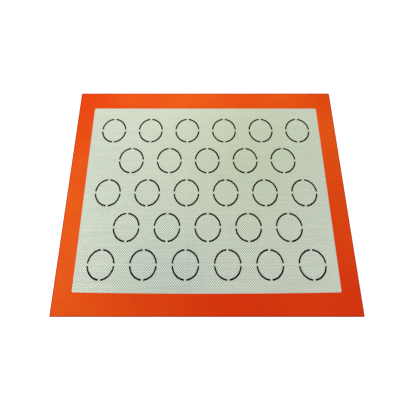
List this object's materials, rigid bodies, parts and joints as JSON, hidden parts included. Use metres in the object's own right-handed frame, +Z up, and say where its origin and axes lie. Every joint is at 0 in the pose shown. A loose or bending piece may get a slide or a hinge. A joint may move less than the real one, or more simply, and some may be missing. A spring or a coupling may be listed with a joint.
{
  "type": "baking mat",
  "caption": "Flat reusable baking mat: woven glass cloth coated with silicone, orange silicone edging and printed guide rings in staggered rows that mark where to set the dough.",
  "frame": {"origin": "under the middle of the mat, on the surface that it lies on", "axes": "+X along the long side, +Y towards the rear edge (the top of the picture), +Z up out of the baking face"},
  "size_m": [0.4, 0.3, 0.0008],
  "materials": {
    "orange_silicone": "satin moulded silicone",
    "clear_silicone": "satin clear silicone with the glass weave showing through",
    "woven_glass": "plain woven glass yarn",
    "black_ink": "matt silicone printing ink"
  },
  "bodies": {
    "root": {"lower_coat": "clear_silicone", "glass_cloth": "woven_glass", "upper_coat": "clear_silicone", "border_edging": "orange_silicone", "guide_ring_r1_c1": "black_ink", "guide_ring_r1_c2": "black_ink", "guide_ring_r1_c3": "black_ink", "guide_ring_r1_c4": "black_ink", "guide_ring_r1_c5": "black_ink", "guide_ring_r1_c6": "black_ink", "guide_ring_r2_c1": "black_ink", "guide_ring_r2_c2": "black_ink", "guide_ring_r2_c3": "black_ink", "guide_ring_r2_c4": "black_ink", "guide_ring_r2_c5": "black_ink", "guide_ring_r3_c1": "black_ink", "guide_ring_r3_c2": "black_ink", "guide_ring_r3_c3": "black_ink", "guide_ring_r3_c4": "black_ink", "guide_ring_r3_c5": "black_ink", "guide_ring_r3_c6": "black_ink", "guide_ring_r4_c1": "black_ink", "guide_ring_r4_c2": "black_ink", "guide_ring_r4_c3": "black_ink", "guide_ring_r4_c4": "black_ink", "guide_ring_r4_c5": "black_ink", "guide_ring_r5_c1": "black_ink", "guide_ring_r5_c2": "black_ink", "guide_ring_r5_c3": "black_ink", "guide_ring_r5_c4": "black_ink", "guide_ring_r5_c5": "black_ink", "guide_ring_r5_c6": "black_ink"}
  },
  "joints": []
}
